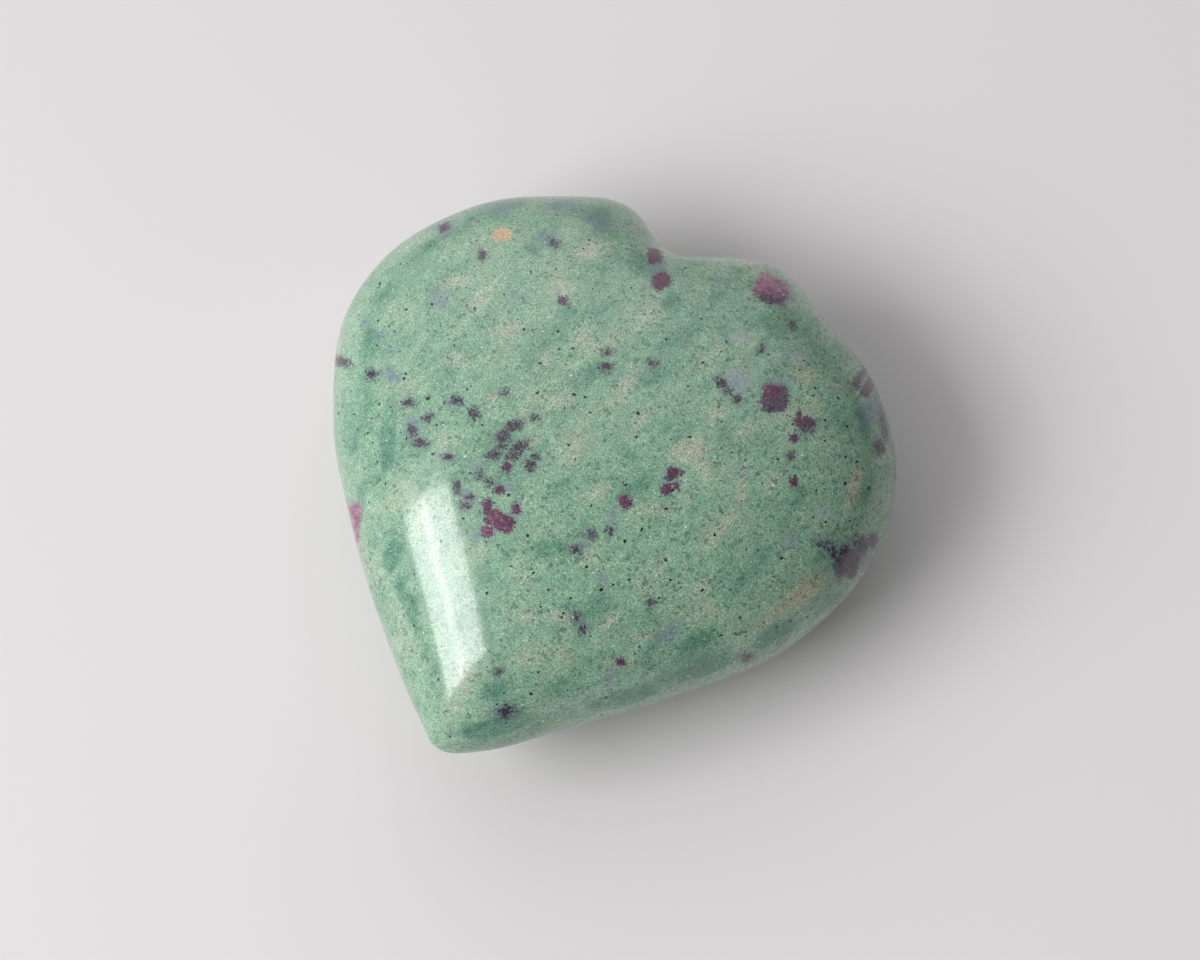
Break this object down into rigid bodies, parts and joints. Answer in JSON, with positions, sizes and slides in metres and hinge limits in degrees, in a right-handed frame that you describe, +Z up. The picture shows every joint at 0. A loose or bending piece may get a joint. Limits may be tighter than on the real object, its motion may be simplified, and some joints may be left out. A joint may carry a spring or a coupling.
{
  "type": "ruby in fuchsite heart",
  "caption": "Polished puffy heart palm stone of green fuchsite with scattered ruby crystals, lying on a small lapped flat on its back.",
  "frame": {"origin": "on the lapped flat of the back, under the middle of the heart's bounding box", "axes": "+Z up out of the domed face, the heart's shortest way; -Y towards the tip and +Y towards the cleft"},
  "size_m": [0.071, 0.072, 0.0295],
  "materials": {
    "stone": "polished fine-grained green mica rock with magenta ruby crystals and black specks"
  },
  "bodies": {
    "root": {"heart": "stone"}
  },
  "joints": []
}
